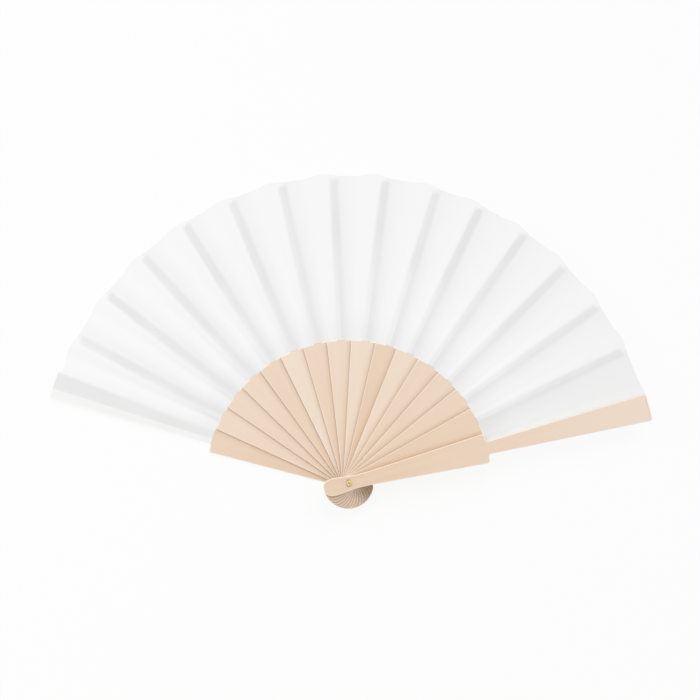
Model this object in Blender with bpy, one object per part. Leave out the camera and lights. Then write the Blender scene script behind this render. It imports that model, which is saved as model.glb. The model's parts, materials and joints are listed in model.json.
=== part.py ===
"""A folding hand fan, lying open on its back.

Fourteen thin wooden ribs between two thicker wooden guards turn on one small brass rivet, and a cloth
leaf joins their outer halves. Metres, +Z up. The rivet's axis is Z through the origin, the middle of the
opened fan points along +Y, and the rear guard's outer face lies in the plane Z = 0.

Every stick is drawn lying along its own +X, with its hole at its own origin, and is then lifted to its
place in the stack and turned about the rivet.
"""

import math

import bmesh
import bpy
from mathutils import Vector

MM = 0.001

# How the fan lies open: the turn from each stick to the next, from the rear guard on. The tenth pleat
# is a little slack, and the last one, beside the front guard, is stretched the widest.
PLEATS_DEGREES = [9.83] * 9 + [8.75] + [9.71] * 4 + [11.39]

# The stack, from the table up. GAP is the running clearance between neighbouring sticks.
GAP = 0.3 * MM
GUARD_THICK = 2.0 * MM
GUARD_SLIP_THICK = 1.35 * MM
RIB_THICK = 0.7 * MM
RIB_SLIP_THICK = 0.35 * MM
LEAF_THICK = 0.12 * MM

# Lengths along a stick, from the rivet's axis.
HEAD_END = 17.7 * MM
HEAD_WIDEST = 9.6 * MM
WAIST_END = 4.0 * MM
WAIST_EASE = 16.0 * MM
BLADE_TOP = 97.5 * MM
STEP_RAMP = 0.5 * MM
GUARD_END = 212.0 * MM
LEAF_SHORT_OF_GUARD = 1.2 * MM
RIB_SHORT_OF_LEAF = 2.8 * MM
LEAF_CLEAR_OF_BLADE = 1.1 * MM

# Half widths across a stick.
HEAD_HALF = 6.0 * MM
WAIST_HALF = 4.6 * MM
BLADE_HALF = 10.2 * MM
RIB_SLIP_INNER_HALF = 2.75 * MM
RIB_SLIP_OUTER_HALF = 1.95 * MM
GUARD_SLIP_HALF_ANGLE = math.radians(2.55)

# Corner radii.
HEAD_SQUARENESS = 2.6
BLADE_CORNER = 2.0 * MM
GUARD_FILLET = 1.5 * MM
RIB_FILLET = 0.6 * MM
GUARD_TIP_CORNER = 2.0 * MM
RIB_TIP_CORNER = 0.9 * MM

# The rivet and its washer.
SHANK_RADIUS = 1.0 * MM
HOLE_CLEARANCE = 0.3 * MM
RIVET_HEAD_RADIUS = 3.0 * MM
RIVET_HEAD_THICK = 0.6 * MM
WASHER_WIDTH = 0.6 * MM
WASHER_THICK = 0.25 * MM
LIP_RADIUS = 0.4 * MM
DIMPLE_RADIUS = 0.55 * MM
DIMPLE_DEPTH = 0.9 * MM

# How finely round shapes are drawn.
HOLE_SIDES = 20
TURNED_SIDES = 24
CORNER_STEPS = 3
HEAD_STEPS = 6
LEAF_ARC_STEPS = 4

LEAF_OUTER = GUARD_END - LEAF_SHORT_OF_GUARD
LEAF_INNER = BLADE_TOP + LEAF_CLEAR_OF_BLADE
RIB_END = LEAF_OUTER - RIB_SHORT_OF_LEAF
HOLE_RADIUS = SHANK_RADIUS + HOLE_CLEARANCE
PLEATS = [math.radians(turn) for turn in PLEATS_DEGREES]
LAST = len(PLEATS)

WOOD_COLOUR = (0.84, 0.68, 0.52)
CLOTH_COLOUR = (0.90, 0.90, 0.91)
BRASS_COLOUR = (0.66, 0.50, 0.17)


def level(index):
    """Height of a stick's lower face: 0 for the rear guard, then one rib above another."""
    if index == 0:
        return 0.0
    return GUARD_THICK + GAP + (index - 1) * (RIB_THICK + GAP)


STACK_TOP = level(LAST) + GUARD_THICK


def leaf_gap(thick, slip_thick):
    """Clearance that centres a leaf plate between its stick's slip and the next stick's level."""
    return (thick + GAP - slip_thick - LEAF_THICK) / 2


def bearing(index):
    """Direction of a stick from the rivet, as an angle from +X; the rear guard is the leftmost."""
    return math.pi / 2 + sum(PLEATS) / 2 - sum(PLEATS[:index])


def finish(name, mesh_data, colour, roughness, metallic=0.0):
    """Turns a bmesh into a named object with a material of its own."""
    mesh = bpy.data.meshes.new(name)
    mesh_data.to_mesh(mesh)
    mesh_data.free()
    mesh.shade_smooth()
    mesh.set_sharp_from_angle(angle=math.radians(35))
    material = bpy.data.materials.new(name)
    material.use_nodes = True
    shader = material.node_tree.nodes["Principled BSDF"]
    shader.inputs["Base Color"].default_value = (*colour, 1.0)
    shader.inputs["Roughness"].default_value = roughness
    shader.inputs["Metallic"].default_value = metallic
    mesh.materials.append(material)
    made = bpy.data.objects.new(name, mesh)
    bpy.context.scene.collection.objects.link(made)
    return made


def turned(name, profile, closed, colour, roughness, metallic):
    """A shape turned about Z from (radius, height) points; a closed profile is a ring."""
    shape = bmesh.new()
    points = [shape.verts.new((radius, 0.0, height)) for radius, height in profile]
    ends = list(zip(points, points[1:]))
    if closed:
        ends.append((points[-1], points[0]))
    edges = [shape.edges.new(pair) for pair in ends]
    bmesh.ops.spin(
        shape,
        geom=points + edges,
        cent=(0.0, 0.0, 0.0),
        axis=(0.0, 0.0, 1.0),
        angle=2 * math.pi,
        steps=TURNED_SIDES,
    )
    bmesh.ops.remove_doubles(shape, verts=shape.verts, dist=0.001 * MM)
    bmesh.ops.recalc_face_normals(shape, faces=shape.faces)
    return finish(name, shape, colour, roughness, metallic)


def arc(centre, radius, start, end, steps):
    """Points on an arc about a centre, from one angle to another."""
    turns = [start + (end - start) * k / steps for k in range(steps + 1)]
    return [
        (centre[0] + radius * math.cos(a), centre[1] + radius * math.sin(a)) for a in turns
    ]


def blade_half_width(along):
    """Half width of the blade: a waist at the rivet that eases into a straight flare."""
    run = along - WAIST_END
    slope = (BLADE_HALF - WAIST_HALF) / (BLADE_TOP - WAIST_END - WAIST_EASE / 2)
    if run < WAIST_EASE:
        return WAIST_HALF + slope * run * run / (2 * WAIST_EASE)
    return WAIST_HALF + slope * (run - WAIST_EASE / 2)


def head_edge():
    """One edge of the head, from its blunt end to the waist: a squared oval, then half a cosine wave."""
    power = 2 / HEAD_SQUARENESS
    edge = []
    for k in range(HEAD_STEPS + 1):
        turn = math.radians(80) * (1 - k / HEAD_STEPS)
        along = -HEAD_WIDEST - (HEAD_END - HEAD_WIDEST) * math.sin(turn) ** power
        edge.append((along, HEAD_HALF * math.cos(turn) ** power))
    reach = WAIST_END + HEAD_WIDEST
    for k in range(1, HEAD_STEPS + 1):
        share = k / HEAD_STEPS
        swell = (1 + math.cos(math.pi * share)) / 2
        edge.append(
            (reach * share - HEAD_WIDEST, WAIST_HALF + (HEAD_HALF - WAIST_HALF) * swell)
        )
    return edge


def stick_edge(slip_half, fillet, tip, tip_corner):
    """One edge of a whole stick, as (along, half width) points that run from the head to the tip."""
    edge = head_edge()
    for share in (0.25, 0.6, 1.0):
        along = WAIST_END + WAIST_EASE * share
        edge.append((along, blade_half_width(along)))
    corner_half = BLADE_HALF - BLADE_CORNER
    corner_along = math.sqrt((BLADE_TOP - BLADE_CORNER) ** 2 - corner_half**2)
    lean = math.atan2(corner_half, corner_along)
    edge += arc((corner_along, corner_half), BLADE_CORNER, math.pi / 2, lean, CORNER_STEPS)
    foot = (BLADE_TOP + fillet, slip_half(BLADE_TOP) + fillet)
    top_end = math.asin(foot[1] / BLADE_TOP)
    edge += arc((0.0, 0.0), BLADE_TOP, lean, top_end, 2)[1:]
    edge += arc(foot, fillet, math.radians(195), math.radians(270), CORNER_STEPS)
    tip_half = slip_half(tip)
    centre = (tip - tip_corner, tip_half - tip_corner)
    edge += arc(centre, tip_corner, math.radians(90), 0.0, CORNER_STEPS)
    return edge


def stick(name, edge, low, high):
    """A closed stick: a four-cornered section at each point of its edge, joined along its length."""
    shape = bmesh.new()
    rings = []
    for along, half in edge:
        bottom, top = low(along), high(along)
        corners = ((-half, bottom), (half, bottom), (half, top), (-half, top))
        rings.append([shape.verts.new((along, across, height)) for across, height in corners])
    for near, far in zip(rings, rings[1:]):
        for side in range(4):
            after = (side + 1) % 4
            shape.faces.new((near[side], near[after], far[after], far[side]))
    shape.faces.new(rings[0])
    shape.faces.new(rings[-1])
    bmesh.ops.recalc_face_normals(shape, faces=shape.faces)
    return finish(name, shape, WOOD_COLOUR, 0.55)


def leaf_section(name, right, left):
    """A thin plate of the leaf between two angles about the rivet, from the blades to the rim."""
    shape = bmesh.new()
    rings = []
    for k in range(LEAF_ARC_STEPS + 1):
        turn = right + (left - right) * k / LEAF_ARC_STEPS
        way = Vector((math.cos(turn), math.sin(turn), 0.0))
        up = Vector((0.0, 0.0, LEAF_THICK))
        inner, outer = way * LEAF_INNER, way * LEAF_OUTER
        rings.append([shape.verts.new(p) for p in (inner, outer, outer + up, inner + up)])
    for near, far in zip(rings, rings[1:]):
        for side in range(4):
            after = (side + 1) % 4
            shape.faces.new((near[side], near[after], far[after], far[side]))
    shape.faces.new(rings[0])
    shape.faces.new(rings[-1])
    bmesh.ops.recalc_face_normals(shape, faces=shape.faces)
    return finish(name, shape, CLOTH_COLOUR, 0.9)


def cutter(name, radius, bottom, top):
    """A round guide on the rivet's axis that cuts holes and isn't part of the fan."""
    shape = bmesh.new()
    bmesh.ops.create_cone(
        shape,
        cap_ends=True,
        segments=HOLE_SIDES,
        radius1=radius,
        radius2=radius,
        depth=top - bottom,
    )
    bmesh.ops.translate(shape, verts=shape.verts, vec=(0.0, 0.0, (top + bottom) / 2))
    made = finish(name, shape, WOOD_COLOUR, 0.5)
    made.hide_render = True
    made.display_type = "WIRE"
    return made


def cut(target, tool):
    """Cuts the tool's shape out of the target."""
    change = target.modifiers.new(tool.name, "BOOLEAN")
    change.operation = "DIFFERENCE"
    change.solver = "EXACT"
    change.object = tool


def rib_slip_half(along):
    """Half width of a rib's slip, which narrows evenly from the blade to the tip."""
    share = (along - BLADE_TOP) / (RIB_END - BLADE_TOP)
    return RIB_SLIP_INNER_HALF + (RIB_SLIP_OUTER_HALF - RIB_SLIP_INNER_HALF) * share


def guard_slip_half(along):
    """Half width of a guard's slip, whose edges point at the rivet."""
    return along * math.tan(GUARD_SLIP_HALF_ANGLE)


def past_blade(along):
    """0 on the blade and 1 on the slip, with a short ramp between them."""
    return min(max((along - BLADE_TOP) / STEP_RAMP, 0.0), 1.0)


def place(made, index):
    """Lifts a stick to its level and turns it to its bearing."""
    made.location = (0.0, 0.0, level(index))
    made.rotation_euler = (0.0, 0.0, bearing(index))


def make_sticks():
    """The rear guard, the ribs and the front guard, in that order from the table up."""
    slimming = GUARD_THICK - GUARD_SLIP_THICK
    guard_edge = stick_edge(guard_slip_half, GUARD_FILLET, GUARD_END, GUARD_TIP_CORNER)
    rib_edge = stick_edge(rib_slip_half, RIB_FILLET, RIB_END, RIB_TIP_CORNER)
    rear = stick(
        "rear_guard",
        guard_edge,
        low=lambda along: 0.0,
        high=lambda along: GUARD_THICK - slimming * past_blade(along),
    )
    front = stick(
        "front_guard",
        guard_edge,
        low=lambda along: slimming * past_blade(along),
        high=lambda along: GUARD_THICK,
    )
    ribs = [
        stick(
            f"rib_{index:02d}",
            rib_edge,
            low=lambda along: 0.0,
            high=lambda along: RIB_THICK - (RIB_THICK - RIB_SLIP_THICK) * past_blade(along),
        )
        for index in range(1, LAST)
    ]
    return [rear, *ribs, front]


def make_leaf(sticks):
    """One plate of the leaf for each stick, on its upper face, or under it at the front guard."""
    guard_gap = leaf_gap(GUARD_THICK, GUARD_SLIP_THICK)
    rib_gap = leaf_gap(RIB_THICK, RIB_SLIP_THICK)
    for index, owner in enumerate(sticks):
        right = -GUARD_SLIP_HALF_ANGLE if index == LAST else -PLEATS[index] / 2
        left = GUARD_SLIP_HALF_ANGLE if index == 0 else PLEATS[index - 1] / 2
        section = leaf_section(f"leaf_{index:02d}", right, left)
        section.parent = owner
        if index == 0:
            section.location.z = GUARD_SLIP_THICK + guard_gap
        elif index == LAST:
            section.location.z = GUARD_THICK - GUARD_SLIP_THICK - guard_gap - LEAF_THICK
        else:
            section.location.z = RIB_SLIP_THICK + rib_gap


def make_rivet():
    """The rivet, whose flat head lies flush in the rear guard and whose far end is rolled over."""
    washer_base = STACK_TOP + GAP
    lip_base = washer_base + WASHER_THICK + GAP
    lip_middle = lip_base + LIP_RADIUS
    lip_ring = DIMPLE_RADIUS + LIP_RADIUS + 0.15 * MM
    floor = lip_middle - DIMPLE_DEPTH
    rolled = arc((lip_ring, lip_middle), LIP_RADIUS, -math.pi / 2, math.pi, 6)
    profile = [
        (0.0, 0.0),
        (RIVET_HEAD_RADIUS, 0.0),
        (RIVET_HEAD_RADIUS, RIVET_HEAD_THICK),
        (SHANK_RADIUS, RIVET_HEAD_THICK),
        (SHANK_RADIUS, lip_base),
        *rolled,
        (DIMPLE_RADIUS, floor),
        (0.0, floor),
    ]
    turned("rivet", profile, False, BRASS_COLOUR, 0.3, 1.0)
    inner, outer = HOLE_RADIUS, HOLE_RADIUS + WASHER_WIDTH
    ring = [
        (inner, washer_base),
        (outer, washer_base),
        (outer, washer_base + WASHER_THICK),
        (inner, washer_base + WASHER_THICK),
    ]
    turned("washer", ring, True, BRASS_COLOUR, 0.35, 1.0)


def make_holes(sticks):
    """The rivet's hole in every stick, and the recess for its head in the rear guard."""
    hole = cutter("hole_guide", HOLE_RADIUS, -GUARD_THICK, STACK_TOP + GUARD_THICK)
    for made in sticks:
        cut(made, hole)
    recess = cutter(
        "recess_guide",
        RIVET_HEAD_RADIUS + HOLE_CLEARANCE,
        -GUARD_THICK,
        RIVET_HEAD_THICK + GAP,
    )
    cut(sticks[0], recess)


def main():
    for old in list(bpy.data.objects):
        bpy.data.objects.remove(old)
    sticks = make_sticks()
    for index, made in enumerate(sticks):
        place(made, index)
    make_leaf(sticks)
    make_rivet()
    make_holes(sticks)


main()
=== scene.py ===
# %% [markdown]
# # A folding hand fan, opened on a white table
#
# Sixteen flat wooden sticks turn on one brass rivet, and a pleated cloth leaf joins their outer halves.
# The solid model gives the places, the sizes and the joints. It is loaded first as a frame that never
# moves, and the sticks, the rivet and the washer that are made below ride on its bodies.

# %% Load the frame
import json
import math

import bmesh
import bpy
import numpy as np
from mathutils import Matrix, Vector

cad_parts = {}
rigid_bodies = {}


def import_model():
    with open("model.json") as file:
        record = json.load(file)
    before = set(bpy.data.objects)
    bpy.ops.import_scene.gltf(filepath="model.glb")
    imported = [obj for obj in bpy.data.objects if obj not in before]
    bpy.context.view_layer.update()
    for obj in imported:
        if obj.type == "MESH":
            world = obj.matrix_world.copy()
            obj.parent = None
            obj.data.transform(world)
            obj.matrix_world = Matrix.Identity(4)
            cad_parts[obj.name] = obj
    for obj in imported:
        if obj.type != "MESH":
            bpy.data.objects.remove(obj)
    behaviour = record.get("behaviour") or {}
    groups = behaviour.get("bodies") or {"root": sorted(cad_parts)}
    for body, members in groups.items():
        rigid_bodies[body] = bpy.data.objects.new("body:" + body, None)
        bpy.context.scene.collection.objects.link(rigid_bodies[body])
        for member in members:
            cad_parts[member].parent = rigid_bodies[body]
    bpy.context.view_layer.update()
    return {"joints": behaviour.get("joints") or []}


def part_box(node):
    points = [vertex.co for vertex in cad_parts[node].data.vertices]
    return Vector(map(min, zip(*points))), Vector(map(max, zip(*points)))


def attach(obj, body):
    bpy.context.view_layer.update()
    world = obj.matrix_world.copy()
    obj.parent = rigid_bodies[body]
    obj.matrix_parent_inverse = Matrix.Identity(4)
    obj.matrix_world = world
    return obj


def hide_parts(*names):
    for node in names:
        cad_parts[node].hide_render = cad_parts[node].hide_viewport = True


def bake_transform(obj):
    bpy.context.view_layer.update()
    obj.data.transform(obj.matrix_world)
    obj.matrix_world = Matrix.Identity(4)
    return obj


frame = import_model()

MM = 0.001

# %% [markdown]
# The sticks form a chain: each one is hinged to its left neighbour, and every hinge has the rivet's axis.
# So the joints, read in order, name the sticks from the table up, and each joint's range is the angle of
# one pleat. The middle of the opened fan points along +Y.

# %% Sticks, bearings and levels
joints = frame["joints"]
STICKS = [joints[0]["parent"]] + [joint["child"] for joint in joints]
LAST = len(STICKS) - 1
PLEATS = [math.radians(joint["range_deg"][1]) for joint in joints]
LEVELS = [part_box(name)[0].z for name in STICKS]
STACK_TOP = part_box(STICKS[LAST])[1].z


def bearing(index):
    """Direction of a stick from the rivet: +Y plus half of all the pleats, less the pleats before it."""
    return math.pi / 2 + sum(PLEATS) / 2 - sum(PLEATS[:index])


print(len(STICKS), "sticks; pleats in degrees:", [round(math.degrees(turn), 2) for turn in PLEATS])

# %% [markdown]
# ## A helper for surfaces
#
# A surface can be typed in vertex by vertex, pushed about by hand, or worked out. Here every new piece is
# worked out: a grid of points is one numpy array, and the faces between its rows and columns follow from
# counting. That keeps the pieces smooth at any closeness, and it keeps this file short.

# %% Grids and meshes
def grid_faces(rows, columns, wrap_columns=False):
    """The quads of a grid: each joins a point to the next in its row and to the same two a row on."""
    row = np.arange(rows - 1)[:, None]
    column = np.arange(columns if wrap_columns else columns - 1)[None, :]
    after = (column + 1) % columns
    corners = (row * columns + column, row * columns + after,
               (row + 1) * columns + after, (row + 1) * columns + column)
    return np.stack([np.broadcast_to(c, (rows - 1, column.size)) for c in corners], -1).reshape(-1, 4)


def make_mesh(name, points, faces, smooth=True):
    """A mesh object at the origin, from points in metres and lists of faces."""
    mesh = bpy.data.meshes.new(name)
    mesh.from_pydata(points.reshape(-1, 3).tolist(), [], [list(map(int, face)) for face in faces])
    mesh.validate()
    if smooth:
        mesh.shade_smooth()
    made = bpy.data.objects.new(name, mesh)
    bpy.context.scene.collection.objects.link(made)
    return made


def put_attribute(made, name, kind, values):
    """Stores one value, or one vector, at each vertex, for the materials to read."""
    field = "vector" if kind == "FLOAT_VECTOR" else "value"
    layer = made.data.attributes.new(name, kind, "POINT")
    layer.data.foreach_set(field, np.asarray(values, np.float32).ravel())


def vertex_places(made):
    """All vertex positions of a mesh object as one array."""
    flat = np.empty(len(made.data.vertices) * 3, np.float32)
    made.data.vertices.foreach_get("co", flat)
    return flat.reshape(-1, 3).astype(float)


def ease(start, end, value):
    """0 before start and 1 after end, with a smooth S between them: 3t squared less 2t cubed."""
    t = np.clip((value - start) / (end - start), 0.0, 1.0)
    return t * t * (3 - 2 * t)


# %% [markdown]
# ## The outline of a stick
#
# Each stick has a rounded head below the rivet, a waist at the rivet and a blade that flares to a square
# shoulder. Past the shoulder only a slip goes on behind the cloth: narrow on a rib, and broad, with edges
# that point at the rivet, on a guard. The outline could be a hand-drawn curve. It is a row of formulas
# instead, one for each stretch, so that all sixteen sticks share it and only the slip differs.

# %% Sizes of a stick
HEAD_END = 17.7 * MM
HEAD_WIDEST = 9.6 * MM
HEAD_HALF = 6.0 * MM
HEAD_SQUARENESS = 2.6
WAIST_END = 4.0 * MM
WAIST_EASE = 16.0 * MM
WAIST_HALF = 4.6 * MM
BLADE_TOP = 97.5 * MM
BLADE_HALF = 10.2 * MM
BLADE_CORNER = 2.0 * MM
STEP_RAMP = 0.1 * MM
GUARD_SLIP_ANGLE = math.radians(2.55)
GUARD_FILLET = 1.5 * MM
GUARD_TIP_CORNER = 2.0 * MM
GUARD_END = 212.0 * MM
LEAF_SHORT_OF_GUARD = 1.2 * MM
LEAF_PAST_BLADE = 0.15 * MM
LEAF_OUTER = GUARD_END - LEAF_SHORT_OF_GUARD
LEAF_INNER = BLADE_TOP + LEAF_PAST_BLADE
RIB_SHORT_OF_LEAF = 2.8 * MM
RIB_END = LEAF_OUTER - RIB_SHORT_OF_LEAF
RIB_SLIP_HALVES = (2.75 * MM, 1.95 * MM)
RIB_FILLET = 0.6 * MM
RIB_TIP_CORNER = 0.9 * MM
HEAD_POINTS = 19
WAIST_POINTS = 13
FLARE_POINTS = 9
BLADE_POINTS = 14
SLIP_POINTS = 12
TIP_POINTS = 5
print("leaf from", round(LEAF_INNER / MM, 2), "to", round(LEAF_OUTER / MM, 2), "mm from the rivet")


# %% Slips and arcs
def rib_slip_half(along):
    """Half width of a rib's slip: a straight taper from the shoulder to the tip."""
    share = (along - BLADE_TOP) / (RIB_END - BLADE_TOP)
    return RIB_SLIP_HALVES[0] + (RIB_SLIP_HALVES[1] - RIB_SLIP_HALVES[0]) * share


def guard_slip_half(along):
    """Half width of a guard's slip: its distance from the rivet times the tangent of a fixed angle."""
    return along * math.tan(GUARD_SLIP_ANGLE)


def arc(centre, radius, start, end, steps):
    """Points on a circle about a centre, between two angles."""
    turn = np.linspace(start, end, steps + 1)
    return np.stack([centre[0] + radius * np.cos(turn), centre[1] + radius * np.sin(turn)], -1)


print("half width of a rib's tip, mm:", round(rib_slip_half(RIB_END) / MM, 2))


# %% One edge of a stick
def stick_edge(slip_half, fillet, tip, tip_corner):
    """One edge from the head's middle to the tip's middle, as (along, half width) rows.

    Head: a squared oval. Waist: half a cosine wave, then a parabola that becomes a straight flare.
    Shoulder: a corner arc, an arc about the rivet and a fillet. Tip: a corner arc and a flat arc.
    """
    power = 2 / HEAD_SQUARENESS
    turn = np.linspace(math.pi / 2, 0.0, HEAD_POINTS)
    oval = np.stack([-HEAD_WIDEST - (HEAD_END - HEAD_WIDEST) * np.sin(turn) ** power,
                     HEAD_HALF * np.cos(turn).clip(0) ** power], -1)
    share = np.linspace(0.0, 1.0, WAIST_POINTS)[1:]
    waist = np.stack([(WAIST_END + HEAD_WIDEST) * share - HEAD_WIDEST,
                      WAIST_HALF + (HEAD_HALF - WAIST_HALF) * (1 + np.cos(math.pi * share)) / 2], -1)
    along = WAIST_END + WAIST_EASE * np.linspace(0.0, 1.0, FLARE_POINTS)[1:]
    slope = (BLADE_HALF - WAIST_HALF) / (BLADE_TOP - WAIST_END - WAIST_EASE / 2)
    flare = np.stack([along, WAIST_HALF + slope * (along - WAIST_END) ** 2 / (2 * WAIST_EASE)], -1)
    along = np.linspace(WAIST_END + WAIST_EASE, BLADE_TOP - 2 * BLADE_CORNER, BLADE_POINTS)[1:]
    blade = np.stack([along, WAIST_HALF + slope * (along - WAIST_END - WAIST_EASE / 2)], -1)
    corner_half = BLADE_HALF - BLADE_CORNER
    corner_along = math.sqrt((BLADE_TOP - BLADE_CORNER) ** 2 - corner_half**2)
    lean = math.atan2(corner_half, corner_along)
    foot = (BLADE_TOP + fillet, slip_half(BLADE_TOP) + fillet)
    tip_half = slip_half(tip)
    lip = math.asin((tip_half - tip_corner) / tip)
    slip = np.linspace(foot[0], tip, SLIP_POINTS)[1:-1]
    last = np.linspace(lip, 0, TIP_POINTS)[1:]
    return np.concatenate([
        oval, waist, flare, blade,
        arc((corner_along, corner_half), BLADE_CORNER, math.pi / 2, lean, 8),
        arc((0.0, 0.0), BLADE_TOP, lean, math.asin(foot[1] / BLADE_TOP), 4)[1:],
        arc(foot, fillet, math.radians(200), math.radians(270), 6),
        np.stack([slip, slip_half(slip)], -1),
        arc((tip - tip_corner, tip_half - tip_corner), tip_corner, math.pi / 2, lip, 6),
        np.stack([tip * np.cos(last), tip * np.sin(last)], -1),
    ])


rib_edge = stick_edge(rib_slip_half, RIB_FILLET, RIB_END, RIB_TIP_CORNER)
guard_edge = stick_edge(guard_slip_half, GUARD_FILLET, GUARD_END, GUARD_TIP_CORNER)
print("points on one edge of a rib and of a guard:", len(rib_edge), len(guard_edge))

# %% [markdown]
# ## From the outline to a stick
#
# A plate with knife-sharp edges looks like paper. Real sticks are sanded, so their edges are softly round,
# and that thin round edge is what catches the light between one blade and the next. A bevel modifier could
# round them. Here the rounding is part of the surface: a short profile, a quarter circle down and a quarter
# circle back, is carried round the whole outline, and the two flat faces close it.

# %% The surface of a stick
EDGE_STEPS = 4
FLAT_MARGIN = 0.5 * MM
MOST_ROUND = 0.48


def outward(loop):
    """Unit normals of a closed outline, from the direction between each point's two neighbours."""
    run = np.roll(loop, -1, 0) - np.roll(loop, 1, 0)
    normal = np.stack([run[:, 1], -run[:, 0]], -1)
    return normal / np.linalg.norm(normal, axis=1, keepdims=True)


def stick_surface(name, edge, low, high, softness):
    """A closed stick. Row: place on the edge profile, from the top face over the rim to the lower face.
    Column: place on the outline. Point: outline less its normal times the profile's inset.

    low and high give the heights of the two faces as functions of the distance from the rivet.
    """
    loop = np.concatenate([edge * (1, -1), edge[1:-1][::-1]])
    normal = outward(loop)
    bottom, top = low(loop[:, 0]), high(loop[:, 0])
    radius = np.minimum(softness, MOST_ROUND * (top - bottom))
    turn = np.linspace(math.pi / 2, 0.0, EDGE_STEPS + 1)[:, None]
    upper_in, upper_z = radius * (1 - np.cos(turn)), top - radius * (1 - np.sin(turn))
    lower_in, lower_z = upper_in[::-1], (bottom + radius * (1 - np.sin(turn)))[::-1]
    margin = np.full_like(radius, softness + FLAT_MARGIN)[None]
    inset = np.concatenate([margin, upper_in, lower_in, margin])
    height = np.concatenate([top[None], upper_z, lower_z, bottom[None]])
    place = loop[None] - normal[None] * inset[..., None]
    points = np.concatenate([place, height[..., None]], -1)
    rows, columns = inset.shape
    faces = grid_faces(rows, columns, wrap_columns=True)[:, ::-1].tolist()
    half = len(edge)
    first = np.arange(1, half - 1)
    other = columns - first
    for start, flip in ((0, False), ((rows - 1) * columns, True)):
        a, b = start + first, start + other
        caps = [[start, a[0], b[0]], [a[-1], start + half - 1, b[-1]]]
        caps += np.stack([a[:-1], a[1:], b[1:], b[:-1]], -1).tolist()
        faces += [face[::-1] for face in caps] if flip else caps
    return make_mesh(name, points, faces)


# %% Blade and slip
def past_blade(along):
    """0 on the blade and 1 on the slip."""
    return np.clip((along - BLADE_TOP) / STEP_RAMP, 0.0, 1.0)


GUARD_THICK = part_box(STICKS[0])[1].z - LEVELS[0]
RIB_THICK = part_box(STICKS[1])[1].z - LEVELS[1]
GUARD_SLIP_THICK = 1.35 * MM
RIB_SLIP_THICK = 0.35 * MM
print("guard and rib thickness, mm:", round(GUARD_THICK / MM, 2), round(RIB_THICK / MM, 2))

# %% [markdown]
# ## The rivet's hole
#
# Every head is drilled for the rivet, and the rear guard has a recess for its flat head. The clean way to
# drill a finished plate is a Boolean with a round cutter. Its result is kept as a plain mesh, so nothing is
# left to go wrong later, and the cutter is thrown away.

# %% Drill a hole
DRILL_SIDES = 48
DRILL_PAST = 1 * MM
HOLE_RADIUS = 1.3 * MM
RECESS_RADIUS = 3.3 * MM
RECESS_DEPTH = 0.9 * MM


def drill(made, radius, bottom, top):
    """Cuts a round hole about the rivet's axis and keeps the result as the object's own mesh."""
    ring = arc((0, 0), radius, 0, 2 * math.pi, DRILL_SIDES)[:-1]
    points = np.concatenate([np.column_stack([ring, np.full(DRILL_SIDES, z)]) for z in (bottom, top)])
    faces = grid_faces(2, DRILL_SIDES, wrap_columns=True).tolist()
    faces += [list(range(DRILL_SIDES))[::-1], list(range(DRILL_SIDES, 2 * DRILL_SIDES))]
    tool = make_mesh("drill", points, faces, smooth=False)
    cut = made.modifiers.new("drill", "BOOLEAN")
    cut.operation = "DIFFERENCE"
    cut.solver = "EXACT"
    cut.object = tool
    seen = made.evaluated_get(bpy.context.evaluated_depsgraph_get())
    kept = bpy.data.meshes.new_from_object(seen)
    made.modifiers.clear()
    made.data = kept
    bpy.data.objects.remove(tool)


# %% [markdown]
# ## Place each stick and mark it for its colour, painted shade and painted highlight
#
# No two sticks are cut from the same strip of veneer, so each one gets its own tone. Painted shade adds
# to that: a soft dark line beside the next stick, where its edge casts a contact shadow, darker towards the
# front guard, and shade in the steps between the heads, which fades towards it. The rounded edges get a
# painted highlight. These could be sixteen materials. They are attributes on the sticks instead, so that one
# material serves them all.

# %% Marks on a stick
TONES = [1.16, 0.33, 0.5, 0.49, 0.74, -0.3, 0.63, 0.41, 0.12, 1.23, 0.09, 0.55, 0.58, 0.68, 1.05, 0.98]
# Depth of the painted contact shade beside the next stick; none on the front guard.
CONTACT_SHADE_DEPTHS = np.linspace(0.36, 0.70, len(STICKS)) * (np.arange(len(STICKS)) < LAST)
# Painted shade round the lower heads, deepest on the lowest, fading up the stack.
HEAD_SHADE_DEPTHS = np.clip(0.75 - np.arange(len(STICKS)) / 10, 0, 1)
HEAD_REACH = 7 * MM


def rim_share(own, edge, softness):
    """1 on a stick's outline, falling to 0 at the end of the flat margin inside its rounded rim.

    That is 1 less the distance to the nearest point of the outline, over the width of rim and margin.
    """
    outline = np.concatenate([edge, edge * (1, -1)])
    apart = np.linalg.norm(own[:, None, :2] - outline[None], axis=2).min(1)
    return np.clip(1 - apart / (softness + FLAT_MARGIN), 0, 1)


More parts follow.
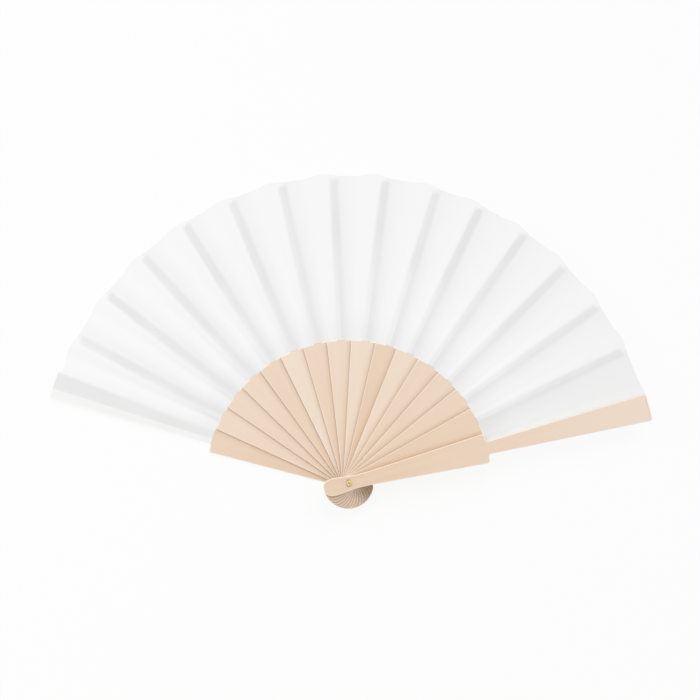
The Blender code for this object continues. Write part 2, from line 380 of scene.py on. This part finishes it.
def stand(made, index, edge, softness):
    """Turns a stick's mesh to its bearing and lifts it to its level, with its own grain coordinates.

    The vector attribute "fibre" keeps each point's place along, across and through the stick, "tone" is
    how warm the stick's wood is, "rub" how dark the painted contact shade beside the next stick is, "rim"
    marks its edges for a painted highlight, "next" is the angle to the stick on top of it, and "grime" is
    the painted shade round the lower heads.
    """
    own = vertex_places(made)
    put_attribute(made, "fibre", "FLOAT_VECTOR", own)
    put_attribute(made, "tone", "FLOAT", np.full(len(own), TONES[index]))
    put_attribute(made, "contact_shade", "FLOAT", np.full(len(own), CONTACT_SHADE_DEPTHS[index]))
    put_attribute(made, "head_shade", "FLOAT", np.clip(-own[:, 0] / HEAD_REACH, 0, 1) * HEAD_SHADE_DEPTHS[index])
    put_attribute(made, "rim", "FLOAT", rim_share(own, edge, softness))
    put_attribute(made, "next", "FLOAT", np.full(len(own), PLEATS[index] if index < LAST else math.pi / 2))
    turn = bearing(index)
    placed = own.copy()
    placed[:, 0] = own[:, 0] * math.cos(turn) - own[:, 1] * math.sin(turn)
    placed[:, 1] = own[:, 0] * math.sin(turn) + own[:, 1] * math.cos(turn)
    placed[:, 2] += LEVELS[index]
    made.data.vertices.foreach_set("co", placed.astype(np.float32).ravel())
    made.data.update()


print("tones from", min(TONES), "to", max(TONES))

# %% Make the sticks
GUARD_SOFT = 0.45 * MM
RIB_SOFT = 0.25 * MM

wood_pieces = []
slim = GUARD_THICK - GUARD_SLIP_THICK
for index, name in enumerate(STICKS):
    guard = index in (0, LAST)
    edge, softness = (guard_edge, GUARD_SOFT) if guard else (rib_edge, RIB_SOFT)
    if index == 0:
        faces = (lambda u: 0 * u, lambda u: GUARD_THICK - slim * past_blade(u))
    elif index == LAST:
        faces = (lambda u: slim * past_blade(u), lambda u: GUARD_THICK + 0 * u)
    else:
        faces = (lambda u: 0 * u, lambda u: RIB_THICK - (RIB_THICK - RIB_SLIP_THICK) * past_blade(u))
    piece = stick_surface(f"{name}_wood", edge, *faces, softness)
    drill(piece, HOLE_RADIUS, -DRILL_PAST, GUARD_THICK + DRILL_PAST)
    if index == 0:
        drill(piece, RECESS_RADIUS, -DRILL_PAST, RECESS_DEPTH)
    stand(piece, index, edge, softness)
    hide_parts(name)
    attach(piece, name)
    wood_pieces.append(piece)
print("sticks:", len(wood_pieces), "with", len(wood_pieces[1].data.polygons), "faces a rib")

# %% [markdown]
# ## The rivet and its washer
#
# A tubular rivet starts as a pin with a flat head. Its far end is rolled outwards over a small washer,
# which leaves a bright ring with a dimple. Both are turned shapes: a profile of radius and height, carried
# round the axis.

# %% Turned shapes
TURNED_SIDES = 72


def turned(name, profile, closed_ring=False):
    """A turned surface. Row: place on the profile. Column: angle about Z.

    Point: radius times cosine, radius times sine, height. An open profile starts and ends on the axis.
    """
    radius, height = np.asarray(profile, float).T
    turn = np.linspace(0, 2 * math.pi, TURNED_SIDES + 1)[:-1]
    points = np.stack([radius[:, None] * np.cos(turn), radius[:, None] * np.sin(turn),
                       np.repeat(height[:, None], TURNED_SIDES, 1)], -1)
    if closed_ring:
        points = np.concatenate([points, points[:1]])
    made = make_mesh(name, points, grid_faces(len(points), TURNED_SIDES, wrap_columns=True))
    weld_and_face_out(made)
    return made


def weld_and_face_out(made):
    """Merges coinciding vertices and turns every face outwards."""
    shape = bmesh.new()
    shape.from_mesh(made.data)
    bmesh.ops.remove_doubles(shape, verts=shape.verts, dist=0.0005 * MM)
    bmesh.ops.recalc_face_normals(shape, faces=shape.faces)
    shape.to_mesh(made.data)
    shape.free()


def rounded(points, radius, steps=3):
    """The same profile with each inner corner cut by a quadratic curve that starts radius before it."""
    points = [np.array(p, float) for p in points]
    line = [points[0]]
    for before, corner, after in zip(points, points[1:], points[2:]):
        start = corner + (before - corner) * min(radius / np.linalg.norm(before - corner), 0.5)
        end = corner + (after - corner) * min(radius / np.linalg.norm(after - corner), 0.5)
        for t in np.linspace(0, 1, steps + 1):
            line.append((1 - t) ** 2 * start + 2 * t * (1 - t) * corner + t**2 * end)
    return np.array(line + [points[-1]])


# %% Rivet and washer
rivet_low, rivet_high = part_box("rivet")
washer_low, washer_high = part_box("washer")
SHANK_RADIUS = 1.0 * MM
RIVET_HEAD_THICK = 0.6 * MM
LIP_RADIUS = 0.4 * MM
DIMPLE_RADIUS = 0.55 * MM
DIMPLE_SINK = 0.35 * MM
DIMPLE_RIM = 0.15 * MM
PIN_ROUNDING = 0.15 * MM
WASHER_ROUNDING = 0.1 * MM
lip_middle = rivet_high.z - LIP_RADIUS
lip_ring = DIMPLE_RADIUS + LIP_RADIUS + DIMPLE_RIM
roll = arc((lip_ring, lip_middle), LIP_RADIUS, -math.pi / 2, math.pi, 16)
rivet_profile = np.concatenate([
    rounded([(0, 0), (rivet_high.x, 0), (rivet_high.x, RIVET_HEAD_THICK),
             (SHANK_RADIUS, RIVET_HEAD_THICK), (SHANK_RADIUS, lip_middle - LIP_RADIUS)], PIN_ROUNDING),
    roll,
    arc((0, lip_middle - DIMPLE_SINK), DIMPLE_RADIUS, 0, -math.pi / 2, 8),
])
rivet = turned("rivet_brass", rivet_profile)
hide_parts("rivet")
washer_outer = washer_high.x
washer_section = rounded([(HOLE_RADIUS, washer_low.z), (washer_outer, washer_low.z),
                          (washer_outer, washer_high.z), (HOLE_RADIUS, washer_high.z),
                          (HOLE_RADIUS, washer_low.z)], WASHER_ROUNDING)
washer = turned("washer_brass", washer_section[:-1], closed_ring=True)
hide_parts("washer")
for piece in (rivet, washer):
    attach(piece, STICKS[0])
print("rivet length, mm:", round((rivet_high.z - rivet_low.z) / MM, 2))

# %% [markdown]
# ## The leaf
#
# The leaf is one sheet of thin white cloth. It is glued to the front of each slip and creased twice
# between neighbours, so that a quarter of a pleat lies flat beside each slip and half of it crosses over
# to the next. When the fan shuts, that half turns over and lies back on the first quarter.
#
# A cloth simulation would find soft folds but not pressed pleats, and it would never shut flat. So the
# leaf is worked out as a pleated surface, one piece for each pleat, because a piece can bend between two
# bodies only. Neighbouring pieces meet on the middle of a slip, where the cloth is flat and glued.

# %% The height of the cloth
CLOTH = 0.10 * MM
GLUE = 0.03 * MM
CREASE_REACH = math.radians(2.5)
CREASE_LIFT = 0.13 * MM
CREASE_SOFT = 0.08
RIPPLE = 0.05 * MM
PANEL_LIFT = 0.20 * MM
CLIMB_INNER = (0.66, 0.845)
CLIMB_OUTER = (0.57, 0.93)


def crease_share(index):
    """Where a pleat's first crease lies: a quarter of the way, or less so that it shuts inside a guard."""
    return min(0.25, CREASE_REACH / PLEATS[index])


def cloth_height_on(index):
    """Mid height of the cloth where it is glued to a stick: on its slip, or under the front guard's."""
    if index == LAST:
        return STACK_TOP - GUARD_SLIP_THICK - GLUE - CLOTH / 2
    slip = GUARD_SLIP_THICK if index == 0 else RIB_SLIP_THICK
    return LEVELS[index] + slip + GLUE + CLOTH / 2


def pleat_height(share, radius, index):
    """Height of the cloth at a share of the way from one stick's middle to the next.

    Flat beside the lower stick, a soft lift about the first crease, a slow rise across the free panel,
    then an S-shaped climb over the edge of the next slip, one level up. The climb is longer towards the
    rim, where the slips are narrow. Ripples of a few hundredths of a millimetre, sums of sines, keep the
    free panel from looking like sheet metal.
    """
    outer = (radius - LEAF_INNER) / (LEAF_OUTER - LEAF_INNER)
    foot, top = (a + (b - a) * outer for a, b in zip(CLIMB_INNER, CLIMB_OUTER))
    start, end = cloth_height_on(index), cloth_height_on(index + 1)
    crease = crease_share(index)
    lift = CREASE_LIFT * ease(crease - CREASE_SOFT, crease + CREASE_SOFT, share)
    slow = PANEL_LIFT * ease(crease, top, share)
    climb = (end - start - CREASE_LIFT - PANEL_LIFT) * ease(foot, top, share)
    free = ease(0.32, 0.45, share) * (1 - ease(0.58, 0.70, share))
    ripple = (np.sin(radius / MM / 9 + 2.1 * index) + np.sin(radius / MM / 4.3 + 11 * share + index)) / 2
    return start + lift + slow + climb + RIPPLE * free * ripple


print("cloth over the rear guard and under the front one, mm:",
      round(cloth_height_on(0) / MM, 2), round(cloth_height_on(LAST) / MM, 2))

# %% [markdown]
# The outer rim of a pressed leaf isn't a true circle. It bulges a millimetre just before each slip and
# draws in between, because the pleats are pressed first and the rim is trimmed with the fan half shut.
# Over the rear guard the cloth reaches to the guard's very tip, with a hem along its free edge.
#
# The cloth is thin but it isn't a bare surface: each piece is closed, with an upper and a lower face and a
# narrow wall between them, so that its edge shows a thickness from the side.

# %% The outline of a pleat
RIM_DRAWN_IN = 1.0 * MM
RIM_BULGE = 1.9 * MM
BULGE_SHARE = 0.78
RADIAL_ROWS = 44
OVERHANG = GUARD_SLIP_ANGLE + math.radians(0.06)
HEM_START = math.radians(0.65)
HEM_PAST_GUARD = 0.03 * MM
SLIP_TIP = 1.2 * MM
GUARD_SHADE_IN = 1.2 * MM
HEM = 0.08 * MM


def pleat_columns(index):
    """Shares across one pleat, closer together at the creases and at the climb over the next slip."""
    crease = crease_share(index)
    marks = [0.0, crease - 0.09, crease + 0.09, CLIMB_OUTER[0], CLIMB_OUTER[1], 1.0]
    parts = [np.linspace(a, b, n + 1)[:-1] for a, b, n in zip(marks, marks[1:], [4, 8, 6, 18, 3])]
    reach = OVERHANG / PLEATS[index]
    if index == 0:
        hem = HEM_START / PLEATS[index]
        beside = np.concatenate([np.linspace(0, 0.05, 8)[:-1], np.linspace(0.05, reach - hem - 0.02, 6)])
        parts.insert(0, np.concatenate([beside - reach, np.linspace(-hem - 0.01, -0.01, 6)]))
    if index == LAST - 1:
        parts.append(np.linspace(1, 1 + reach * 0.95, 7))
    else:
        parts.append([1.0])
    return np.concatenate(parts)


def rim_radius(share, index):
    """Outer radius of the leaf: a circle with one soft bulge a pleat, a raised cosine squared.

    Over the rear guard it is the guard's own end, with the same rounded corner as the guard.
    """
    wave = (1 + np.cos(2 * math.pi * (share - BULGE_SHARE))) / 2
    rim = LEAF_OUTER - RIM_DRAWN_IN + RIM_BULGE * wave**2
    if index == 0:
        reach = OVERHANG / PLEATS[0]
        on_guard = 1 - ease(reach, reach + 0.04, share)
        inside = np.clip((share + reach) * PLEATS[0] * GUARD_END, 0, BLADE_CORNER)
        corner = BLADE_CORNER - np.sqrt(BLADE_CORNER**2 - (BLADE_CORNER - inside) ** 2)
        rim = rim + (GUARD_END + HEM_PAST_GUARD - rim) * on_guard - corner * (share < 0)
    return rim


def past_slip(share, radius, index):
    """Distance outside the edge of the nearer slip, below zero on the slip itself.

    It is the larger of two: the arc from the slip's middle less its half width, and the way past its
    rounded tip, which starts a little before its end.
    """
    turn = np.minimum(np.abs(share), np.abs(1 - share)) * PLEATS[index]
    on_guard = ((index == 0) & (share < 0.5)) | ((index == LAST - 1) & (share > 0.5))
    half = np.where(on_guard, guard_slip_half(radius) - GUARD_SHADE_IN, rib_slip_half(radius))
    sideways = turn * radius - half
    return np.maximum(sideways, np.where(on_guard, -1.0, radius - RIB_END + SLIP_TIP))


print("columns across the first pleat and the second:", len(pleat_columns(0)), len(pleat_columns(1)))

# %% [markdown]
# Each pleat is one closed piece, worked out in place as the fan lies open.

# %% One pleat
SHARP_CREASE = math.radians(50)


def boundary(rows, columns):
    """Indices round a grid's edge, in order."""
    index = np.arange(rows * columns).reshape(rows, columns)
    return np.concatenate([index[0, :-1], index[:-1, -1], index[-1, :0:-1], index[:0:-1, 0]])


def pleat_piece(index):
    """One pleat. Row: place from the inner edge to the rim. Column: share across the pleat.

    Point: radius at the angle that the share gives, at the cloth's height plus or less half its thickness.
    """
    share = pleat_columns(index)[None, :]
    outward_share = np.linspace(0, 1, RADIAL_ROWS)[:, None]
    radius = LEAF_INNER + (rim_radius(share, index) - LEAF_INNER) * outward_share
    share = np.broadcast_to(share, radius.shape)
    angle = bearing(index) - share * PLEATS[index]
    height = pleat_height(share, radius, index)
    hem = HEM * (share * PLEATS[index] < -HEM_START)
    sides = [np.stack([radius * np.cos(angle), radius * np.sin(angle), height + lift], -1)
             for lift in (CLOTH / 2 + hem, -CLOTH / 2)]
    rows, columns = radius.shape
    upper = grid_faces(rows, columns)
    edge = boundary(rows, columns)
    after = np.roll(edge, -1)
    lower = rows * columns
    walls = np.stack([edge + lower, after + lower, after, edge], -1)
    faces = np.concatenate([upper, upper[:, ::-1] + lower, walls])
    made = make_mesh(f"pleat_{index:02d}", np.stack(sides), faces)
    made.data.set_sharp_from_angle(angle=SHARP_CREASE)
    details = np.stack([share, past_slip(share, radius, index), radius], -1)
    put_attribute(made, "pleat", "FLOAT_VECTOR", np.stack([details, details]))
    crease = crease_share(index)
    turns = (bearing(index) - PLEATS[index] * place for place in (crease, 1 - crease))
    middle = (LEAF_INNER + LEAF_OUTER) / 2
    ends = [(middle * math.cos(turn), middle * math.sin(turn), LEVELS[index]) for turn in turns]
    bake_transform(made)
    return made


# %% All the pleats
pleats = [pleat_piece(index) for index in range(LAST)]
for index, piece in enumerate(pleats):
    nodes = [f"leaf_{index:02d}"] + ([f"leaf_{LAST:02d}"] if index == LAST - 1 else [])
    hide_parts(*nodes)
print("pleats:", len(pleats), "with", len(pleats[1].data.polygons), "faces each")

# %% [markdown]
# ## Materials
#
# A helper keeps the node code readable: it adds a node, sets its values and wires its inputs in one line.

# %% Node helpers
def new_material(name, colour, roughness):
    """A material with its Principled shader, given a plain colour and roughness to start from."""
    material = bpy.data.materials.new(name)
    material.use_nodes = True
    shader = material.node_tree.nodes["Principled BSDF"]
    shader.inputs["Base Color"].default_value = (*colour, 1)
    shader.inputs["Roughness"].default_value = roughness
    return material, shader


def add_node(material, kind, wires=None, **settings):
    """Adds a node; settings are its properties, and wires maps an input to a value or to a socket."""
    node = material.node_tree.nodes.new(kind)
    for key, value in settings.items():
        setattr(node, key, value)
    for key, value in (wires or {}).items():
        if isinstance(value, bpy.types.NodeSocket):
            material.node_tree.links.new(value, node.inputs[key])
        else:
            node.inputs[key].default_value = value
    return node


def maths(material, operation, a, b=0.0, c=0.0):
    """The output of one Math node."""
    return add_node(material, "ShaderNodeMath", {0: a, 1: b, 2: c}, operation=operation).outputs[0]


def spread(material, value, low, high, to_low, to_high, smooth=True):
    """Maps a value from one range to another and clamps it."""
    kind = "SMOOTHSTEP" if smooth else "LINEAR"
    wires = {"Value": value, "From Min": low, "From Max": high, "To Min": to_low, "To Max": to_high}
    return add_node(material, "ShaderNodeMapRange", wires, interpolation_type=kind).outputs["Result"]


def blend_colours(material, share, first, second, mode="MIX"):
    """The output of a colour Mix node; a colour is a socket or three numbers."""
    first, second = (c if isinstance(c, bpy.types.NodeSocket) else (*c, 1) for c in (first, second))
    node = add_node(material, "ShaderNodeMix", {0: share, 6: first, 7: second},
                    data_type="RGBA", blend_type=mode)
    return node.outputs[2]


# %% [markdown]
# ### Pale birch
#
# Birch veneer is almost plain: long faint streaks along the stick, a finer fibre on top, and a colour that
# differs a little from one stick to the next. The streaks are noise stretched along the stick, read from
# the "fibre" attribute, so the grain turns with each stick and never slides. Beside the next stick's edge a
# soft darker line is painted in, as painted shade for the contact shadow of that edge, and the rounded edges
# are painted lighter, as a painted highlight. Round the lower heads, deep in the steps of the stack, painted
# shade darkens the wood.

# %% Colours of the wood
PALE = (0.835, 0.695, 0.570)
WARM = (0.765, 0.565, 0.410)
STREAK = (0.680, 0.460, 0.310)
WORN = (0.830, 0.700, 0.590)
# A painted highlight for the rounded edges.
PAINTED_EDGE_HIGHLIGHT = (0.935, 0.850, 0.765)
# Painted shade for the deep steps between the lowest heads.
PAINTED_HEAD_SHADE = (0.330, 0.190, 0.120)
# Painted shade for the contact shadow beside the next stick's edge.
PAINTED_CONTACT_SHADE = (0.560, 0.370, 0.230)
CONTACT_SHADE_REACH = 4.5 * MM
FLARE_START = WAIST_END + WAIST_EASE / 2
FLARE = (BLADE_HALF - WAIST_HALF) / (BLADE_TOP - FLARE_START)
print("a blade widens on each side by", round(FLARE * 100, 1), "mm in 100")

# %% Wood
wood, wood_shader = new_material("pale_birch", PALE, 0.55)
fibre = add_node(wood, "ShaderNodeAttribute", attribute_name="fibre").outputs["Vector"]
tone, rim, contact_shade, head_shade, next_turn = (add_node(wood, "ShaderNodeAttribute", attribute_name=name).outputs["Fac"]
                                    for name in ("tone", "rim", "contact_shade", "head_shade", "next"))
along_stick = add_node(wood, "ShaderNodeSeparateXYZ", {0: fibre}).outputs[0]
turned_fibre = add_node(wood, "ShaderNodeVectorRotate", {"Vector": fibre, "Angle": next_turn},
                        rotation_type="Z_AXIS").outputs[0]
under_next = add_node(wood, "ShaderNodeSeparateXYZ", {0: turned_fibre}).outputs
shift = add_node(wood, "ShaderNodeCombineXYZ", {0: maths(wood, "MULTIPLY", tone, 7.3),
                                                1: maths(wood, "MULTIPLY", tone, 3.1), 2: tone}).outputs[0]
own_place = add_node(wood, "ShaderNodeVectorMath", {0: fibre, 1: shift}, operation="ADD").outputs[0]


def streaks(along, across, detail, roughness):
    """Noise that is stretched along the stick; along and across are features a metre."""
    scaled = add_node(wood, "ShaderNodeMapping", {"Vector": own_place, "Scale": (along, across, across)})
    noise = add_node(wood, "ShaderNodeTexNoise", {"Vector": scaled.outputs[0], "Scale": 1.0,
                                                  "Detail": detail, "Roughness": roughness})
    return noise.outputs["Fac"]


broad = streaks(14, 260, 3.0, 0.5)
fine = streaks(60, 1700, 2.0, 0.6)
pore = streaks(220, 4200, 1.0, 0.5)
warmth = spread(wood, maths(wood, "MULTIPLY_ADD", broad, 0.6, tone), 0.1, 1.5, 0.0, 1.0, smooth=False)
ground = blend_colours(wood, warmth, PALE, WARM)
grained = blend_colours(wood, spread(wood, fine, 0.45, 0.75, 0.0, 0.14), ground, STREAK)
flecked = blend_colours(wood, spread(wood, pore, 0.62, 0.75, 0.0, 0.10), grained, STREAK)
handling = spread(wood, along_stick, 0.03, 0.20, 0.0, 0.8, smooth=False)
handled = blend_colours(wood, handling, flecked, WORN)
# Painted shade: a soft dark line beside the next stick's edge, where its contact shadow falls.
beside = maths(wood, "SUBTRACT", under_next[1],
               maths(wood, "MULTIPLY_ADD", under_next[0], FLARE, WAIST_HALF - FLARE * FLARE_START))
near_next = maths(wood, "POWER", spread(wood, beside, 0.0, CONTACT_SHADE_REACH, 1.0, 0.0, smooth=False), 2.0)
contact_shaded = blend_colours(wood, maths(wood, "MULTIPLY", near_next, contact_shade), handled, PAINTED_CONTACT_SHADE)
# Painted highlight on the rounded edges.
edge_highlighted = blend_colours(wood, spread(wood, rim, 0.3, 0.7, 0.0, 0.72), contact_shaded, PAINTED_EDGE_HIGHLIGHT)
# Painted shade round the lowest heads.
wood_colour = blend_colours(wood, head_shade, edge_highlighted, PAINTED_HEAD_SHADE)
wood.node_tree.links.new(wood_colour, wood_shader.inputs["Base Color"])
wood.node_tree.links.new(spread(wood, fine, 0.3, 0.7, 0.5, 0.62), wood_shader.inputs["Roughness"])
relief = add_node(wood, "ShaderNodeBump", {"Height": fine, "Strength": 0.25, "Distance": 0.00006})
wood.node_tree.links.new(relief.outputs[0], wood_shader.inputs["Normal"])
for piece in wood_pieces:
    piece.data.materials.clear()
    piece.data.materials.append(wood)
print(wood.name, "has", len(wood.node_tree.nodes), "nodes")

# %% [markdown]
# ### White polyester
#
# The cloth is thin, so the slips behind it show as faint grey bands with soft edges. They could be left to
# a translucent shader, but that needs many samples and gives little control. So they are set from the
# "pleat" attribute, which holds the share of the way across, the distance past the slip's edge and the
# distance from the rivet. A band is darker where the cloth is pressed on its slip and paler where it lies
# loose, which is near the wood, right of the middle. Painted shade makes the cloth a touch greyer in its
# shoulders, beside the wood and beside the front guard. A plain weave of warp and weft runs across it as a
# fine relief.

# %% Colours of the cloth
CLOTH_WHITE = (0.879, 0.879, 0.879)
# Painted shade: the grey of a pleat's shoulder beside its slip.
SHOULDER_SHADE = (0.805, 0.805, 0.808)
SLIP_BEHIND = (0.748, 0.747, 0.745)
HEM_OVER_SLIP = (0.830, 0.828, 0.825)
# Painted shade beside the wood.
WOOD_SIDE_SHADE = 0.955
SOFT_EDGE = 2.4 * MM
LOOSE = (-0.08, 0.62)
LOOSE_BY_GUARD = 0.45
ON_HEM = (-0.072, -0.066)
# Painted shade beside the front guard.
GUARD_SIDE_SHADE = 0.05
print("cloth reflects", CLOTH_WHITE[0], "and", SLIP_BEHIND[0], "over a slip")

# %% Cloth
cloth, cloth_shader = new_material("white_cloth", CLOTH_WHITE, 0.8)
pleat_place = add_node(cloth, "ShaderNodeAttribute", attribute_name="pleat").outputs["Vector"]
share, past_edge, radius = add_node(cloth, "ShaderNodeSeparateXYZ", {0: pleat_place}).outputs
place = add_node(cloth, "ShaderNodeTexCoord").outputs["Object"]
across, outward, _ = add_node(cloth, "ShaderNodeSeparateXYZ", {0: place}).outputs
closing = spread(cloth, radius, 0.10, 0.17, 0.0, 1.0)
inside_edge = maths(cloth, "MULTIPLY_ADD", closing, 1.6 * MM, -2.3 * MM)
patches = add_node(cloth, "ShaderNodeTexNoise", {"Vector": place, "Scale": 28.0, "Detail": 1.0})
pressed = spread(cloth, patches.outputs["Fac"], 0.35, 0.60, 0.64, 0.90, smooth=False)
loose = maths(cloth, "MULTIPLY", spread(cloth, across, -0.13, 0.07, *LOOSE, smooth=False),
              spread(cloth, radius, 0.125, 0.17, 1.0, 0.0))
loose = maths(cloth, "MULTIPLY", loose, spread(cloth, across, 0.045, 0.085, 1.0, LOOSE_BY_GUARD))
slip_shade = maths(cloth, "MULTIPLY", spread(cloth, past_edge, inside_edge, SOFT_EDGE, 1.0, 0.0),
                   maths(cloth, "SUBTRACT", pressed, loose))
# Painted shade in each pleat's shoulder, fading towards the rim.
shoulder = maths(cloth, "MULTIPLY", spread(cloth, share, 0.05, 0.55, 1.0, 0.0),
                 spread(cloth, share, -0.01, 0.0, 0.0, 1.0))
fading = spread(cloth, radius, 0.11, 0.20, 1.0, 0.45, smooth=False)
shoulder_shaded = blend_colours(cloth, maths(cloth, "MULTIPLY", shoulder, fading), CLOTH_WHITE, SHOULDER_SHADE)
on_hem = spread(cloth, share, *ON_HEM, 1.0, 0.0)
behind = blend_colours(cloth, on_hem, SLIP_BEHIND, HEM_OVER_SLIP)
# Painted shade beside the wood and beside the front guard.
wood_side_shade = spread(cloth, radius, 0.098, 0.122, WOOD_SIDE_SHADE, 1.0)
turn = maths(cloth, "ARCTAN2", outward, across)
guard_side_shade = maths(cloth, "MULTIPLY", spread(cloth, turn, 0.30, 0.65, 1.0, 0.0),
                 spread(cloth, radius, 0.10, 0.13, GUARD_SIDE_SHADE * 1.5, GUARD_SIDE_SHADE))
shade = maths(cloth, "SUBTRACT", wood_side_shade, guard_side_shade)
painted_shade_cloth = blend_colours(cloth, 1.0, shoulder_shaded, shade, mode="MULTIPLY")
cloth_colour = blend_colours(cloth, slip_shade, painted_shade_cloth, behind)
cloth.node_tree.links.new(cloth_colour, cloth_shader.inputs["Base Color"])
warp, weft = (add_node(cloth, "ShaderNodeTexWave", {"Vector": place, "Scale": 700.0},
                       bands_direction=axis).outputs["Fac"] for axis in "XY")
threads = maths(cloth, "ADD", warp, weft)
cloth_relief = add_node(cloth, "ShaderNodeBump", {"Height": threads, "Strength": 0.12, "Distance": 0.00003})
cloth.node_tree.links.new(cloth_relief.outputs[0], cloth_shader.inputs["Normal"])
cloth_shader.inputs["Sheen Weight"].default_value = 0.15
cloth_shader.inputs["Specular IOR Level"].default_value = 0.25
for piece in pleats:
    piece.data.materials.append(cloth)
print(cloth.name, "has", len(cloth.node_tree.nodes), "nodes")

# %% [markdown]
# ### Brass
#
# The rivet is plain brass, with fine scuffs that break up its highlight and a little tarnish.

# %% Brass
BRASS = (0.86, 0.73, 0.33)
TARNISH = (0.72, 0.57, 0.22)

brass, brass_shader = new_material("rivet_brass", BRASS, 0.35)
brass_shader.inputs["Metallic"].default_value = 1.0
metal_place = add_node(brass, "ShaderNodeTexCoord").outputs["Object"]
scuffs = add_node(brass, "ShaderNodeTexNoise",
                  {"Vector": metal_place, "Scale": 1800.0, "Detail": 2.0}).outputs["Fac"]
brass.node_tree.links.new(spread(brass, scuffs, 0.3, 0.7, 0.28, 0.45), brass_shader.inputs["Roughness"])
tarnished = blend_colours(brass, spread(brass, scuffs, 0.45, 0.8, 0.0, 0.3), BRASS, TARNISH)
brass.node_tree.links.new(tarnished, brass_shader.inputs["Base Color"])
for piece in (rivet, washer):
    piece.data.materials.append(brass)
print(brass.name, "has", len(brass.node_tree.nodes), "nodes")

# %% [markdown]
# ## Table
#
# The fan lies on a plain white table. A table that is lit only from above shows a heavy shadow round the
# fan, and strong lamps would wash out the cloth. So this one also glows by itself, as a light box does,
# which fills in almost all of the shadow.

# %% Table
TABLE_GLOW = 0.857
TABLE_REACH = 4.0
TABLE_DROP = 0.02 * MM
corners = TABLE_REACH * np.array([(-1, -1, 0), (1, -1, 0), (1, 1, 0), (-1, 1, 0)], float) - (0, 0, TABLE_DROP)
table = make_mesh("table", corners, [(0, 1, 2, 3)])
table_finish, table_shader = new_material("lit_white_table", (0.12, 0.12, 0.12), 0.9)
table_shader.inputs["Specular IOR Level"].default_value = 0.0
table_shader.inputs["Emission Color"].default_value = (1, 1, 1, 1)
table_shader.inputs["Emission Strength"].default_value = TABLE_GLOW
table.data.materials.append(table_finish)
print("table glow:", TABLE_GLOW)

# %% [markdown]
# ## Light
#
# White cloth on white needs very even light, or its far side goes grey. Most of the light comes from a plain
# white sky all round. A wide key lamp behind the fan shades the lower side of every edge, and a weak fill on
# the left keeps that side as bright as the right.

# %% Light
SKY = 0.745
KEY_AZIMUTH = math.radians(70)
KEY_HEIGHT = math.radians(45)
KEY_POWER = 0.95
FILL_POWER = 2.2
LIT_POINT = Vector((0, 0.1, 0))


def add_light(name, kind, power, place):
    """A light at a place, pointed at the middle of the fan."""
    data = bpy.data.lights.new(name, kind)
    data.energy = power
    light = bpy.data.objects.new(name, data)
    light.location = place
    light.rotation_euler = (LIT_POINT - Vector(place)).to_track_quat("-Z", "Y").to_euler()
    bpy.context.scene.collection.objects.link(light)
    return data


flat = math.cos(KEY_HEIGHT)
key = add_light("key", "SUN", KEY_POWER, LIT_POINT + Vector(
    (flat * math.cos(KEY_AZIMUTH), flat * math.sin(KEY_AZIMUTH), math.sin(KEY_HEIGHT))))
key.angle = math.radians(35)
fill = add_light("left_fill", "AREA", FILL_POWER, (-0.9, 0.3, 0.8))
fill.size = 0.6
world = bpy.data.worlds.new("studio")
world.use_nodes = True
world.node_tree.nodes["Background"].inputs["Color"].default_value = (1, 1, 1, 1)
world.node_tree.nodes["Background"].inputs["Strength"].default_value = SKY
bpy.context.scene.world = world
bpy.context.scene.view_settings.view_transform = "Standard"
print("lights:", [light.name for light in bpy.data.lights])

# %% [markdown]
# ## Camera
#
# The camera looks down from far off through a long lens, because a near one would make the raised sticks
# look bigger than the lower ones. It is turned by about two degrees and stands a little to the left, so that
# it looks slightly into the stack, and the raised sticks hide a bit less of the lower ones.

# %% Camera
TURN = math.radians(2.12)
LEAN = math.radians(2.5)
FIELD = 0.4783
LENS = 200
SENSOR = 36
FOCUS = Vector((-0.00235, 0.0908, 0.01))
camera_data = bpy.data.cameras.new("camera")
camera_data.lens = LENS
camera_data.sensor_width = SENSOR
camera = bpy.data.objects.new("camera", camera_data)
away = FIELD * LENS / SENSOR
camera.rotation_euler = (0, -LEAN, TURN)
camera.location = FOCUS + camera.rotation_euler.to_matrix() @ Vector((0, 0, away))
bpy.context.scene.collection.objects.link(camera)
bpy.context.scene.camera = camera
print("camera distance, m:", round(away, 2))
